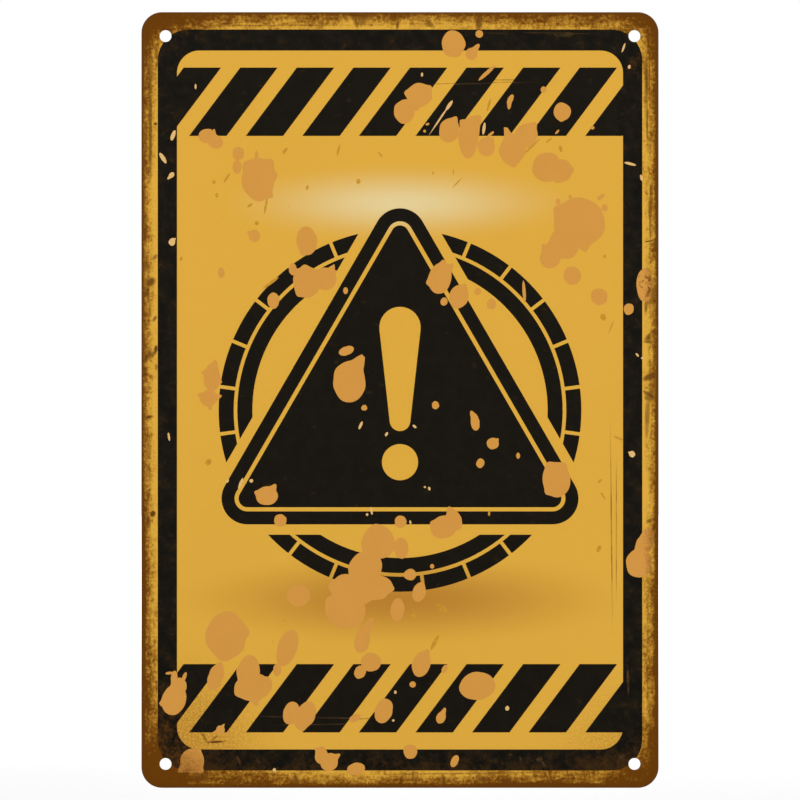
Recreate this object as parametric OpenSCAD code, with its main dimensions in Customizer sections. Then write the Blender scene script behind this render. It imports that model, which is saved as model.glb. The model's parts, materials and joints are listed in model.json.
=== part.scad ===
// Metal warning sign: one sheet of tinplate with an edge that is rolled back and
// folded in behind, four corner holes and a printed face.
//
// The sheet is drawn lying on its back and is then stood up.
// Finished frame: +X is the width, +Z is up, and the printed face looks along -Y.
// The origin is the middle of the four-hole pattern, on the bare face of the sheet.
// Units are millimetres.

/* [Plate] */
// Width over the rolled edges
sign_w = 200; // [180:1:300]
// Height over the rolled edges
sign_h = 300; // [270:1:450]
// Radius of the four outer corners, seen from the front
corner_r = 8; // [7:0.5:12]
// Thickness of the tinplate
sheet_t = 0.3; // [0.2:0.05:0.4]

/* [Rolled edge] */
// Outer radius of the bend that turns the face back into the side wall
edge_r = 1.8; // [1:0.1:3]
// Straight height of the side wall between its two bends
wall_h = 0.3; // [0.1:0.1:4]
// Outer radius of the bend that turns the edge in behind the sign
hem_r = 0.7; // [0.5:0.1:1.2]
// Straight width of the lip that is folded in behind the sign
lip_w = 1.8; // [0.8:0.1:3]

/* [Holes] */
// Diameter of the four fixing holes
hole_d = 4.6; // [3:0.1:5]
// Distance of each hole's centre from the two edges of its corner
hole_inset = 9.5; // [7:0.25:14]

/* [Black border] */
// How far the layer of black print stands on the face
ink_t = 0.04; // [0.02:0.01:0.1]
// Yellow strip between the edge of the sign and the border, at the two sides
border_gap_side = 6.5; // [3.5:0.25:10]
// Yellow strip between the edge of the sign and the border, at top and bottom
border_gap_end = 7; // [3.5:0.25:10]
// Width of the border at the two sides
border_w_side = 7.4; // [4:0.2:12]
// Width of the border at top and bottom
border_w_end = 8.1; // [4:0.2:12]
// Radius of the border's outer corners
border_r = 12; // [4:0.5:20]
// Radius of the corners of the yellow panel inside the border
panel_r = 8.7; // [2:0.5:20]

/* [Hazard stripes] */
// Height of each row of stripes
stripe_row_h = 26.35; // [15:0.5:40]
// Yellow strip between a row and the border beyond it
stripe_row_gap = 6.6; // [2:0.2:12]
// Width of one black stripe, measured along the row
stripe_w = 14.4; // [6:0.2:20]
// Step from one black stripe to the next
stripe_pitch = 21.84; // [21:0.25:30]
// How far a stripe leans to the right over the height of its row
stripe_lean = 19.7; // [5:0.5:40]
// How far the top left corner of the middle stripe lies right of the centre line
stripe_phase = 3.85; // [-8:0.25:8]

/* [Emblem] */
// Height of the emblem's centre above the middle of the sign
emblem_rise = -4; // [-10:1:10]
// Distance from the emblem's centre to the centre of each rounded corner
triangle_reach = 68; // [50:1:72]
// Radius of the triangle's rounded corners
triangle_r = 10; // [9:0.5:14]
// Distance from the triangle's edge to the line inside it
outline_inset = 5; // [3:0.25:6]
// Width of the yellow line inside the triangle
outline_w = 1.6; // [0.8:0.2:2.4]
// Outer radius of the broken ring behind the triangle
ring_r = 70; // [66:0.5:72]
// Width of the broken ring
ring_w = 13; // [8:0.5:15]
// Yellow gap between the ring and the triangle
ring_gap = 4; // [2:0.25:6]
// Width of the yellow line that runs round inside the ring
ring_line_w = 1.4; // [0.6:0.2:2]
// Angle from one yellow tick on the ring to the next
tick_step = 15; // [6:1:20]
// Length of the mark's bar, from its top centre to its bottom centre
bar_len = 36; // [24:1:44]
// Radius of the bar's top end
bar_top_r = 8; // [5:0.25:9]
// Radius of the bar's bottom end
bar_bottom_r = 4; // [2:0.25:4.75]
// Radius of the dot under the bar
dot_r = 7; // [5:0.25:8]
// Gap between the bar and the dot
dot_gap = 5; // [3:0.5:7]
// Height of the dot's centre above the emblem's centre
dot_rise = -20; // [-22:1:-16]

/* [Hidden] */
$fn = 72;
tin_yellow = "#dfac3f";
print_black = "#1b1813";
// Straight steps in each printed arc that is an outline of points
arc_steps = 16;
// Overshoot of a cutting tool past the surface that it cuts
cut_over = 5;

// Heights are measured forward from the wall that the folded lip rests on
face_h = hem_r + wall_h + edge_r;
back_h = face_h - sheet_t;

// Half sizes of the border and of the yellow panel inside it
border_x = sign_w / 2 - border_gap_side;
border_y = sign_h / 2 - border_gap_end;
panel_x = border_x - border_w_side;
panel_y = border_y - border_w_end;

stripe_count = 2 * ceil((panel_x + stripe_lean) / stripe_pitch) + 1;
stripe_mid = (stripe_count - 1) / 2;

// Radius of the line that runs round inside the ring
ring_mid = ring_r - ring_w / 2;

// Quarter of a bend in the sheet, with its centre at the origin. It lies in the
// quadrant that the two signs point to.
module quarter_bend(outer_r, sx, sy) {
    intersection() {
        difference() {
            circle(r = outer_r);
            circle(r = outer_r - sheet_t);
        }
        translate([sx * outer_r, sy * outer_r])
            square(2 * outer_r, center = true);
    }
}

// Section of the rolled edge. X runs inward from the outer edge of the sign
// and Y runs forward from the wall.
module edge_section() {
    translate([edge_r, face_h - edge_r])
        quarter_bend(edge_r, -1, 1);
    translate([0, hem_r])
        square([sheet_t, wall_h]);
    translate([hem_r, hem_r])
        quarter_bend(hem_r, -1, -1);
    translate([hem_r, 0])
        square([lip_w, sheet_t]);
}

// Rounded rectangle about the origin, given by its half sizes
module rounded_plate(half_x, half_y, r) {
    square([2 * half_x, 2 * (half_y - r)], center = true);
    square([2 * (half_x - r), 2 * half_y], center = true);
    for (sx = [-1, 1], sy = [-1, 1])
        translate([sx * (half_x - r), sy * (half_y - r)])
            circle(r = r);
}

// The rolled edge along one straight side. It is drawn with its length along X
// and its outer side towards -Y.
module straight_edge(length) {
    translate([-length / 2, 0, 0])
        rotate([90, 0, 90])
            linear_extrude(height = length)
                edge_section();
}

// The rolled edge round one corner, for the corner that points towards -X and -Y
module corner_edge() {
    rotate([0, 0, 180])
        rotate_extrude(angle = 90)
            translate([corner_r, 0])
                mirror([1, 0])
                    edge_section();
}

module bare_sheet() {
    half_x = sign_w / 2;
    half_y = sign_h / 2;
    for (turn = [0, 180])
        rotate([0, 0, turn]) {
            translate([0, -half_y, 0])
                straight_edge(sign_w - 2 * corner_r);
            translate([-half_x, 0, 0])
                rotate([0, 0, -90])
                    straight_edge(sign_h - 2 * corner_r);
            translate([corner_r - half_x, corner_r - half_y, 0])
                corner_edge();
            translate([half_x - corner_r, corner_r - half_y, 0])
                rotate([0, 0, 90])
                    corner_edge();
        }
    translate([0, 0, back_h])
        linear_extrude(height = sheet_t)
            rounded_plate(half_x - edge_r, half_y - edge_r, corner_r - edge_r);
}

module border() {
    difference() {
        rounded_plate(border_x, border_y, border_r);
        rounded_plate(panel_x, panel_y, panel_r);
    }
}

// One row of leaning stripes, with its bottom edge at the height y0.
// The stripes stop at the middle of the border, so that they join it.
module stripe_row(y0) {
    intersection() {
        for (i = [0 : stripe_count - 1])
            translate([stripe_phase + (i - stripe_mid) * stripe_pitch, y0])
                polygon([
                    [-stripe_lean, 0],
                    [stripe_w - stripe_lean, 0],
                    [stripe_w, stripe_row_h],
                    [0, stripe_row_h]
                ]);
        square([border_x + panel_x, sign_h], center = true);
    }
}

// Points along an arc about the centre c, from the angle a0 to the angle a1
function arc_points(c, r, a0, a1) = [
    for (i = [0 : arc_steps])
        let (a = a0 + (a1 - a0) * i / arc_steps)
            c + r * [cos(a), sin(a)]
];

// Triangle that stands on its base, with an arc of 120 degrees at each corner
module rounded_triangle(reach, r) {
    polygon([
        for (a = [90, 210, 330])
            each arc_points(reach * [cos(a), sin(a)], r, a - 60, a + 60)
    ]);
}

// Bar of the mark, narrower at the bottom. Its sides are tangents to the arcs
// at its two ends, so each arc ends where a side has leaned by this angle.
module tapered_bar() {
    lean = asin((bar_top_r - bar_bottom_r) / bar_len);
    polygon(concat(
        arc_points([0, bar_len], bar_top_r, -lean, 180 + lean),
        arc_points([0, 0], bar_bottom_r, 180 + lean, 360 - lean)
    ));
}

module exclamation_mark() {
    translate([0, dot_rise])
        circle(r = dot_r);
    translate([0, dot_rise + dot_r + dot_gap + bar_bottom_r])
        tapered_bar();
}

// Ring behind the triangle, broken where the triangle passes over it, with a
// fine line round its middle and ticks across its outer half
module broken_ring() {
    difference() {
        circle(r = ring_r);
        circle(r = ring_r - ring_w);
        difference() {
            circle(r = ring_mid + ring_line_w / 2);
            circle(r = ring_mid - ring_line_w / 2);
        }
        for (a = [0 : tick_step : 360 - tick_step])
            rotate(a + tick_step / 2)
                translate([ring_mid, -ring_line_w / 2])
                    square([ring_w, ring_line_w]);
        rounded_triangle(triangle_reach, triangle_r + ring_gap);
    }
}

module emblem() {
    line_r = triangle_r - outline_inset;
    translate([0, emblem_rise]) {
        broken_ring();
        difference() {
            rounded_triangle(triangle_reach, triangle_r);
            difference() {
                rounded_triangle(triangle_reach, line_r);
                rounded_triangle(triangle_reach, line_r - outline_w);
            }
            exclamation_mark();
        }
    }
}

// Print stands on the face. It starts at the back of the sheet, so that the
// sheet and its print are one solid.
module printed_layer() {
    translate([0, 0, back_h])
        linear_extrude(height = sheet_t + ink_t)
            children();
}

module black_print() {
    row_edge = panel_y - stripe_row_gap;
    border();
    stripe_row(row_edge - stripe_row_h);
    stripe_row(-row_edge);
    emblem();
}

module fixing_holes() {
    for (sx = [-1, 1], sy = [-1, 1])
        translate([sx * (sign_w / 2 - hole_inset), sy * (sign_h / 2 - hole_inset), -cut_over])
            cylinder(d = hole_d, h = face_h + 2 * cut_over);
}

module sign_sheet() {
    rotate([90, 0, 0])
        translate([0, 0, -face_h])
            difference() {
                union() {
                    color(tin_yellow) bare_sheet();
                    color(print_black) printed_layer() black_print();
                }
                fixing_holes();
            }
}

sign_sheet();
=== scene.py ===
# %% [markdown]
# A tin warning sign is one sheet of thin tinplate. It is coated with yellow enamel,
# printed in black, pressed so that its edge rolls back, and hung by four corner holes.
# The frame loaded here is the engineered sheet. It fixes every size and place, so each
# coat and print below is fitted to it and nothing is placed by eye.

# %% Load the frame
import json
from functools import reduce

import bpy
import numpy as np
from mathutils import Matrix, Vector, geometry


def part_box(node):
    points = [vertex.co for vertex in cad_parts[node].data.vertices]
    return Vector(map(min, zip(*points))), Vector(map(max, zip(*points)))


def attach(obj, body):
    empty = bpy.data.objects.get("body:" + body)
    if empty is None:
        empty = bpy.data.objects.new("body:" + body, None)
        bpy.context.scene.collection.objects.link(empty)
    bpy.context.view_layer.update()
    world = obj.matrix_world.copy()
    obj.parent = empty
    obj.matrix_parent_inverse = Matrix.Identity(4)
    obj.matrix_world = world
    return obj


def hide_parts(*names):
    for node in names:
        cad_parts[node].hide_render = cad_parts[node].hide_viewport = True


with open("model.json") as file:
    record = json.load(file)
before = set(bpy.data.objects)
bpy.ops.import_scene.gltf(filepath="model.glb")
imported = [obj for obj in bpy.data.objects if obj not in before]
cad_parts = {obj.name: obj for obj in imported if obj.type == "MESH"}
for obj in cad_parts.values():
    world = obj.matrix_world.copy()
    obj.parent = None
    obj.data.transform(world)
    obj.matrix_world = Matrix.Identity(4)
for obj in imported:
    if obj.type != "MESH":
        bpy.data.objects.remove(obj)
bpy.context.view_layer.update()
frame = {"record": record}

# %% [markdown]
# The shapes below are worked out in millimetres, as seen from the front: x runs to the
# right, z runs up, and y is the depth behind the face. The overall sizes and the holes
# are read from the frame, and the sheet's own bends repeat the engineered ones.

# %% Sizes of the sheet
MM = 0.001

low_corner, high_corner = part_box("sign_sheet")
HALF_W = round(high_corner.x / MM, 3)
HALF_H = round(high_corner.z / MM, 3)
DEPTH = round(high_corner.y / MM, 3)
INK_T = round(-low_corner.y / MM, 3)

holes = frame["record"]["mounts"][0]["dims"]
HOLE_X = holes["spacing_x_mm"] / 2
HOLE_Z = holes["spacing_y_mm"] / 2
HOLE_R = holes["hole_r_mm"]

CORNER_R = 8.0
SHEET_T = 0.3
EDGE_R = 1.8
HEM_R = 0.7
LIP_W = 1.8
COAT_T = 0.03

print("sheet", HALF_W * 2, "x", HALF_H * 2, "mm, depth", DEPTH, "mm, print", INK_T, "mm")

# %% [markdown]
# The printer's layout has a black border with a yellow panel inside it, a row of leaning
# stripes at each end of the panel, and an emblem in the middle. These are the sizes of
# the artwork film, so they are kept together here.

# %% Sizes of the print
BORDER_X = HALF_W - 6.5
BORDER_Z = HALF_H - 7
BORDER_R = 12.0
PANEL_X = BORDER_X - 7.4
PANEL_Z = BORDER_Z - 8.1
PANEL_R = 8.7

ROW_H = 26.35
ROW_EDGE = PANEL_Z - 6.6
STRIPE_W = 14.4
STRIPE_PITCH = 21.84
STRIPE_LEAN = 19.7
STRIPE_PHASE = 3.85

EMBLEM_Z = -4.0
TRIANGLE_REACH = 68
TRIANGLE_R = 10
LINE_INSET = 5
LINE_W = 1.6
RING_R = 70
RING_W = 13
RING_GAP = 4
RING_LINE_W = 1.4
TICK_STEP = 15
BAR_LEN = 36
BAR_TOP_R = 8.0
BAR_BOTTOM_R = 4.0
DOT_R = 7.0
DOT_GAP = 5.0
DOT_Z = -20.0

# %% [markdown]
# Every outline on this sign is made of straight lines and arcs, as a plotter would cut
# it. An arc is the one curve needed: all its points are computed at once, and an outline
# is a stack of arcs, because the straight lines are what joins one arc to the next.

# %% Outlines from arcs
def directions(degrees):
    """Rows of (cos a, sin a), for angles a in degrees."""
    a = np.radians(degrees)
    return np.column_stack((np.cos(a), np.sin(a)))


def arc(centre, radius, start, end, steps=16):
    """Points on a circle, from the angle start to the angle end."""
    return np.asarray(centre) + radius * directions(np.linspace(start, end, steps + 1))


def circle(centre, radius, steps=48):
    """A closed outline: an arc of a full turn, without its last point."""
    return arc(centre, radius, 0, 360, steps)[:-1]


def rounded_box(half_x, half_z, radius):
    """Rectangle about the origin with an arc of a quarter turn at each corner."""
    x = half_x - radius
    z = half_z - radius
    corners = ((x, z, 0), (-x, z, 90), (-x, -z, 180), (x, -z, 270))
    return np.vstack([arc((cx, cz), radius, a, a + 90) for cx, cz, a in corners])


def rounded_triangle(radius):
    """Triangle on its base about the emblem's centre, with 120 degree arcs at its corners."""
    centres = TRIANGLE_REACH * directions((90, 210, 330)) + (0, EMBLEM_Z)
    return np.vstack([arc(c, radius, a, a + 120) for c, a in zip(centres, (30, 150, 270))])


def stripe(left_top_x, bottom_z):
    """Parallelogram of one stripe: its foot lies STRIPE_LEAN to the left of its head."""
    foot = left_top_x - STRIPE_LEAN
    top = bottom_z + ROW_H
    return np.array([
        (foot, bottom_z),
        (foot + STRIPE_W, bottom_z),
        (left_top_x + STRIPE_W, top),
        (left_top_x, top),
    ])


def tapered_bar():
    """Two arcs joined by tangents. A tangent leans by asin(difference of radii / length)."""
    foot = np.array((0, EMBLEM_Z + DOT_Z + DOT_R + DOT_GAP + BAR_BOTTOM_R))
    lean = np.degrees(np.arcsin((BAR_TOP_R - BAR_BOTTOM_R) / BAR_LEN))
    head = arc(foot + (0, BAR_LEN), BAR_TOP_R, -lean, 180 + lean)
    return np.vstack((head, arc(foot, BAR_BOTTOM_R, 180 + lean, 360 - lean)))


hole_loops = [circle((sx * HOLE_X, sz * HOLE_Z), HOLE_R) for sx in (-1, 1) for sz in (-1, 1)]
border_loop = rounded_box(BORDER_X, BORDER_Z, BORDER_R)
panel_loop = rounded_box(PANEL_X, PANEL_Z, PANEL_R)
print("outlines: border", len(border_loop), "points, panel", len(panel_loop), "points")

# %% [markdown]
# Years of weather have lifted flakes of enamel down to an orange undercoat. A flake is a
# blob whose radius changes with the angle: an ellipse, times a few slow waves that make
# its edge uneven, plus narrow peaks where the enamel tore to a point.
# Each row in brackets is one flake as it was found on the sign: the place of its middle,
# its width and height, its turn if it has one, and the angle, length and spread of each
# torn point. Larger ones are several blobs that overlap. The second list is of small fresh
# chips in the black, and the third is of faint marks, where the enamel is only worn thin.

# %% Flakes that have come off
FLAKES = [
    # Upper left
    (-74.4, 101.9, 6.8, 5.6), (-71.4, 99.8, 6.6, 5.2, -24, (95, 2.6, 9)),
    (-62.4, 95.2, 4.6, 5.2), (-62.9, 90, 3.4, 5.6),
    (-54.7, 85.2, 12.8, 16.6, 0, (54, 2.2, 14), (132, 1.4, 14), (12, 1.2, 12), (308, 2, 7)),
    (-55.4, 94.4, 1.3, 4.2), (-56.2, 63.4, 4.3, 5, 0, (150, 1, 14)),
    (-36, 61.5, 8, 11, 8, (250, 1.2, 12)),
    # Top edge and upper stripes
    (20.6, 137.4, 9.2, 10.4), (27.6, 133.6, 4.6, 4.8, 0, (52, 2.6, 18)), (30.6, 141.3, 3, 3),
    (7.4, 117.7, 10.2, 9.2, 8, (35, 1, 12), (170, 0.8, 12)), (5, 114, 6, 5.4),
    (1.6, 111.3, 8, 9.2, 0, (60, 0.8, 14)), (33.6, 126.3, 1.5, 8.8, -48),
    (55.4, 119.8, 2.3, 2.5), (62.6, 111.3, 6.8, 6.9, 0, (265, 0.5, 14)),
    (42.6, 116, 2.1, 4.2, -28, (262, 2.2, 16)), (9.5, 103.8, 1.1, 1.2),
    (10.6, 106.5, 1.5, 1, 20), (19, 104.1, 7.8, 9.6, -12, (62, 1.4, 12)),
    (26.6, 101.6, 7.8, 16.6, -4, (118, 2, 12), (60, 2.4, 12)),
    (33.3, 97.8, 6.6, 7.6, 0, (50, 1, 12)), (35, 102.6, 1.1, 3.2, -50),
    (43.4, 96.6, 10, 12, -12, (108, 4, 10), (275, 1, 12)),
    (48.6, 102, 8.6, 10, -30, (52, 1.6, 14)), (60.7, 103.5, 0.9, 2.2, -42),
    (74.3, 105.1, 1.6, 1.4), (56.7, 89.8, 11.2, 11.6), (61.8, 88.4, 9.6, 9, 0, (8, 0.8, 14)),
    # Right side
    (69.2, 68.6, 20, 19, -12, (150, 1.4, 10), (282, 2.2, 9)),
    (63.4, 60.4, 12, 12, 20, (190, 1.4, 14)), (58, 55, 8, 8.4, 0, (120, 2, 14)),
    (66.5, 48, 6.6, 7.4), (76.9, 39.9, 6.4, 6.6), (61, 76.6, 2, 2.4), (65.7, 78.4, 1.5, 1.6),
    (79, 74.2, 2.4, 2.8), (77.6, 78.4, 3.6, 1.6, 40), (94.4, 44.3, 6.4, 12.6, 0, (75, 1.2, 12)),
    (88.3, 35.1, 3.8, 4.6),
    # Middle left
    (-69, 49.2, 2.6, 4), (-41.4, 50.5, 3, 4.6),
    (-35.9, 45.6, 10.8, 12, 0, (98, 0.9, 14), (135, 1.4, 10), (236, 1, 14)),
    (-29, 46.8, 9.2, 8.6, 0, (56, 2.4, 10), (34, 1.6, 6), (140, 1, 12)),
    (-48.9, 38.4, 4.6, 6.3), (-21, 42.2, 1.9, 2.7),
    (-72.6, 8.6, 6.4, 10.6, 0, (76, 2, 12), (150, 1.4, 10), (335, 1, 12)),
    (-73.8, 0.8, 7, 6.2, 0, (278, 1.8, 12), (160, 1, 14), (10, 1.6, 12)),
    (-20.7, 19, 6.2, 3.4, 20), (-19.6, 7, 12.8, 15.6, 0, (62, 4.6, 14)), (-13.8, -3, 2.4, 2.2),
    # Middle right
    (15.4, 47, 9.2, 11.8, -8, (78, 1.4, 9), (46, 2.2, 9), (200, 0.8, 12)),
    (22.7, 39.9, 7.2, 9.8, -14, (60, 1, 12)), (17, 38, 2.8, 3.2), (30, 41.9, 2.5, 2.9),
    (35.3, 37, 3.6, 4.3), (47.9, 41.8, 1.3, 9, 4), (13.7, -2, 2.8, 3.2),
    (29, -8.6, 3.4, 6.8, 6, (112, 1.8, 14)), (35.8, -16.8, 4.8, 4.4, 0, (40, 0.7, 14)),
    (31, -24.4, 3, 4, -20), (45.6, -21.5, 1.5, 2.4),
    (60.4, -30.8, 10.8, 13.6, 6, (62, 1.2, 14), (118, 1.2, 14), (232, 1, 12)),
    # Lower middle
    (-51.4, -37, 8.4, 7.4, 0, (52, 2, 14), (162, 1, 12)), (-46.2, -46.5, 4.8, 5),
    (0.2, -47, 4.6, 4.9), (-8.5, -55, 13.2, 13, 0, (100, 0.6, 16)), (0.4, -57.2, 5.6, 8.4),
    (-13.4, -65, 12.6, 14, -36), (-18.4, -73.4, 17, 12, -16, (170, 1.2, 14)),
    (-21, -81, 15.4, 15, 0, (150, 1, 16)), (-8.8, -72.6, 12, 9, 18, (355, 1.2, 12)),
    (-1, -81, 5.4, 9, -6), (-39.2, -75.5, 8.8, 8.8), (17, -49, 11, 8.6, 22, (160, 0.8, 14)),
    (20.8, -46.4, 6, 8.8, 20, (110, 1.2, 12)), (3.9, -67.4, 4.8, 4.5), (7.4, -74.2, 5, 8, -14),
    (12.4, -64.2, 1.7, 1.8),
    # Above and across the lower stripes
    (-67, -91, 15.4, 18.6, -4, (8, 1.4, 14), (168, 0.8, 14), (262, 0.8, 14)),
    (-43.5, -95.6, 7.6, 14.8, -20), (-14.6, -92.8, 6, 9.8, -10, (66, 5.4, 13)),
    (-11.2, -101.2, 7.8, 7.2), (-15.4, -105, 4.4, 5.4, -24),
    (-71.2, -107, 5.8, 10.8, -18, (70, 1, 14)), (-58.6, -105.6, 8.6, 15.2, -8),
    (-56.8, -110.8, 14.2, 10.6, 8, (282, 2.4, 12), (204, 0.8, 12)), (-52, -109.9, 5.4, 6.6),
    (-41.9, -120.9, 6.6, 8.8, -14), (-36.6, -121.8, 7.4, 11.8, -24, (262, 0.8, 12)),
    (-6.3, -120, 6.8, 9.8, -18), (-17.4, -122.8, 4.6, 2.8, 24),
    (-87.2, -115.6, 9.2, 12.4, -18, (196, 1.2, 11)), (-85.6, -110.8, 6.4, 7.4, -24),
    (-87.2, -107.4, 2.6, 6, -6), (-88.9, -105.4, 3.4, 1.1, 6), (-83.3, -107, 1.5, 4.2, -20),
    (-69.3, -127.4, 3.4, 3.6, 0, (58, 1.2, 12), (200, 1.8, 12)),
    (-80.2, -139.3, 9.2, 9.6, 0, (218, 2.4, 13), (312, 1.6, 13), (58, 0.9, 14)),
    (-30.4, -137.2, 5, 6.8, 0, (130, 0.8, 12)), (-27.4, -139.7, 7, 7, 0, (35, 1.9, 12)),
    (-17, -142.4, 7, 4.8, 14), (8.2, -102, 6.8, 10.4, -14, (64, 1.6, 12)),
    (4.9, -109.8, 2.5, 2.4), (17.2, -103.8, 2, 3.6, -22),
    (29.9, -110.4, 13.6, 11, 6, (188, 0.4, 16)), (15.8, -122.6, 3.6, 4.8, -16, (66, 1.9, 16)),
    (4, -135.7, 5.4, 5.6), (21.1, -139.4, 2.9, 4.9, -26), (92.2, -63, 10.2, 11),
    (94.3, -55.6, 6.2, 13.4, -24), (-47.4, -104.2, 3.2, 4.8),
]

CHIPS = [
    (-87.6, 102.1, 1.6, 4.3, -22), (-91.5, 93.4, 1.6, 4.8, 32),
    (-88.2, 86.8, 1.9, 2.6, -40, (226, 1, 18)), (-88, 61, 2.4, 3.2, -14, (45, 0.7, 14)),
    (-89.2, -14.2, 0.9, 3.3, 8), (-78.9, 121, 0.8, 2.1), (8.5, 125.6, 0.9, 1.6),
    (86.3, 136, 0.8, 3.8, -20), (88.5, 128.6, 1.1, 1.6, -20), (88.8, 91.2, 1.1, 4.6, 76),
    (93.2, 85.8, 1.1, 2.5, 14), (91.6, 17.4, 0.8, 1.8, 40), (93.6, 16.2, 1.2, 0.9),
    (89.6, -20.9, 2.3, 2.6, 0, (150, 0.6, 14)), (-48.5, -142.8, 1.3, 1.4),
    (-1.8, -112.8, 1, 1.4), (-2.6, -123.7, 1, 1), (41.4, -119, 1.6, 1.9),
    (11.3, -34.2, 1, 1.5, 20), (9.6, -33.6, 0.9, 0.8), (4, -47.2, 0.8, 1.6, 10),
    (-11, -42.8, 0.9, 3, 10), (-12.7, -44.2, 1, 1.1), (-66.6, -31.2, 1, 1.6, -20),
    (-57.4, -31.2, 1.5, 1.4), (-61.5, -32.2, 1.1, 5, -22), (-15.2, -9.8, 1.1, 3.2, -24),
    (-5.2, -13.2, 1, 1.8, -30), (5.6, -10.2, 1.8, 1, -40), (15.4, 108.5, 0.7, 16.6, -34),
    (19, 113.7, 1.3, 4.8, -34), (32.4, 104.8, 1.2, 5, -8),
]

FAINT_MARKS = [
    (-66.8, 85.8, 0.9, 4.8, -32), (-57.9, 75.2, 1, 2.6, -55), (-51.8, 75, 0.9, 6.6, -10),
    (-55.3, 68.3, 1.5, 1.7, 20), (-71.9, 84.2, 1.3, 1.7, 30), (-70.7, 79, 1.2, 1.7),
    (-23.8, 96.4, 0.8, 4.8, -14), (-16.1, 84.4, 1.7, 1.9), (-35.8, 82, 1, 1.9, -25),
    (-44.4, 96.2, 1.2, 2.9, -38), (-7.6, 94.8, 0.8, 2.6, 40), (-84.5, 54.6, 1, 1.7, -30),
    (-49.8, 45.3, 1.1, 7.4, -54), (34.3, 113.8, 1, 5.2, -16), (50.6, 97.6, 0.8, 11, -46),
    (57.6, 100.4, 0.7, 3.4, -50), (62, 97, 1.4, 2.4, 20), (22, 83.8, 0.5, 6, -44),
    (12.8, 87.6, 0.8, 1.3), (20.6, 88, 0.5, 2.4), (78.4, 32, 2.2, 2.8, 30),
    (81.5, 28.2, 0.6, 5.4, -22), (79, 55.4, 1, 1.4), (84.4, -14.8, 0.8, 4.2, 66),
    (76.8, -57.4, 1.5, 2.8, -24), (78.4, -37, 0.9, 3.4, 34), (77.2, -31.2, 0.9, 2, -40),
    (34.4, -43.8, 0.9, 2), (13.4, -93.6, 1.5, 7, -28), (16.2, -80.4, 2, 5.4, 56),
    (5, -82.8, 2, 2.2), (-74, -24, 2, 3, -40),
]


def flake_loop(x, z, width, height, turn, points, rough, steps=44):
    """Radius at angle a: the ellipse's, times 1 + slow waves, plus a peak at each torn point.

    The ellipse's radius is w * h / sqrt((h cos a)^2 + (w sin a)^2) for half axes w and h.
    A peak is length * exp(-((a - its angle) / spread)^2).
    """
    a = np.radians(np.linspace(0, 360, steps, endpoint=False))
    w = width / 2
    h = height / 2
    radius = w * h / np.hypot(h * np.cos(a), w * np.sin(a))
    for order, (size, shift) in enumerate(rough, start=2):
        radius = radius * (1 + size / order * np.cos(order * a + shift))
    lean = np.radians(turn)
    for angle, length, spread in points:
        apart = np.angle(np.exp(1j * (a + lean - np.radians(angle))))
        radius = radius + length * np.exp(-((apart / np.radians(spread)) ** 2))
    return np.column_stack((x + radius * np.cos(a + lean), z + radius * np.sin(a + lean)))


draw = np.random.default_rng(7)


def loops_of(rows):
    """The outline of each row, with its own slow waves."""
    loops = []
    for x, z, width, height, *rest in rows:
        turn, *points = rest or (0,)
        waves = np.column_stack((draw.normal(0, 0.05, 6), draw.uniform(0, 2 * np.pi, 6)))
        loops.append(flake_loop(x, z, width, height, turn, points, waves))
    return loops


flake_loops = loops_of(FLAKES)
chip_loops = loops_of(CHIPS)
faint_loops = loops_of(FAINT_MARKS)
print("flakes", len(flake_loops), "chips", len(chip_loops), "faint marks", len(faint_loops))

# %% [markdown]
# Tin this thin is never quite flat. Between its stiff rim it has faint waves, which only
# show as a slow change in its gloss. Every coat has to follow them, so they are one
# function of x and z, and it fades out before the rim and the holes, where the frame's
# flat face has to stay true.

# %% Waves in the sheet
WAVE_DEPTH = 0.12
WAVE_START = 13.0
WAVE_FULL = 42.0


def wave(x, z):
    """Depth behind the face in mm: a product of slow sines, times a smooth step of the inset."""
    inset = np.minimum(HALF_W - np.abs(x), HALF_H - np.abs(z))
    t = np.clip((inset - WAVE_START) / (WAVE_FULL - WAVE_START), 0, 1)
    rolls = np.sin(x / 23 + 0.7 * np.sin(z / 41)) * np.cos(z / 31 + 0.9)
    swell = 0.5 + 0.3 * rolls + 0.2 * np.sin((x + z) / 47 + 1.3)
    return WAVE_DEPTH * t * t * (3 - 2 * t) * swell


print("deepest wave", round(float(wave(*np.mgrid[-HALF_W:HALF_W, -HALF_H:HALF_H]).max()), 3), "mm")

# %% [markdown]
# A coat or a print is a thin flat field with any outline, cut through by holes and by
# flakes. A constrained triangulation suits that: it takes all the outlines and a fine
# lattice of points that lets the field bend with the waves, and a test of each triangle's
# middle then says which triangles belong to the field.

# %% Fields with any outline
LATTICE = 2.5
# The rows of the lattice lie this share of its step apart
ROW_SHARE = 0.866
# Points closer than this are one point
SAME_POINT = 1e-5


def inside(points, loop):
    """True where a ray to the point's right crosses the outline an odd number of times."""
    result = np.zeros(len(points), bool)
    low, high = loop.min(0), loop.max(0)
    near = np.flatnonzero(((points > low) & (points < high)).all(1))
    px, pz = points[near, 0, None], points[near, 1, None]
    ax, az = loop.T
    bx, bz = np.roll(loop, -1, 0).T
    crossing = (az > pz) != (bz > pz)
    rise = np.where(bz == az, 1, bz - az)
    cross_x = ax + (bx - ax) * (pz - az) / rise
    result[near] = (crossing & (px < cross_x)).sum(1) % 2 == 1
    return result


def inside_any(points, loops):
    """True for points that lie inside at least one of the outlines."""
    result = np.zeros(len(points), bool)
    for loop in loops:
        result |= inside(points, loop)
    return result


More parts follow.
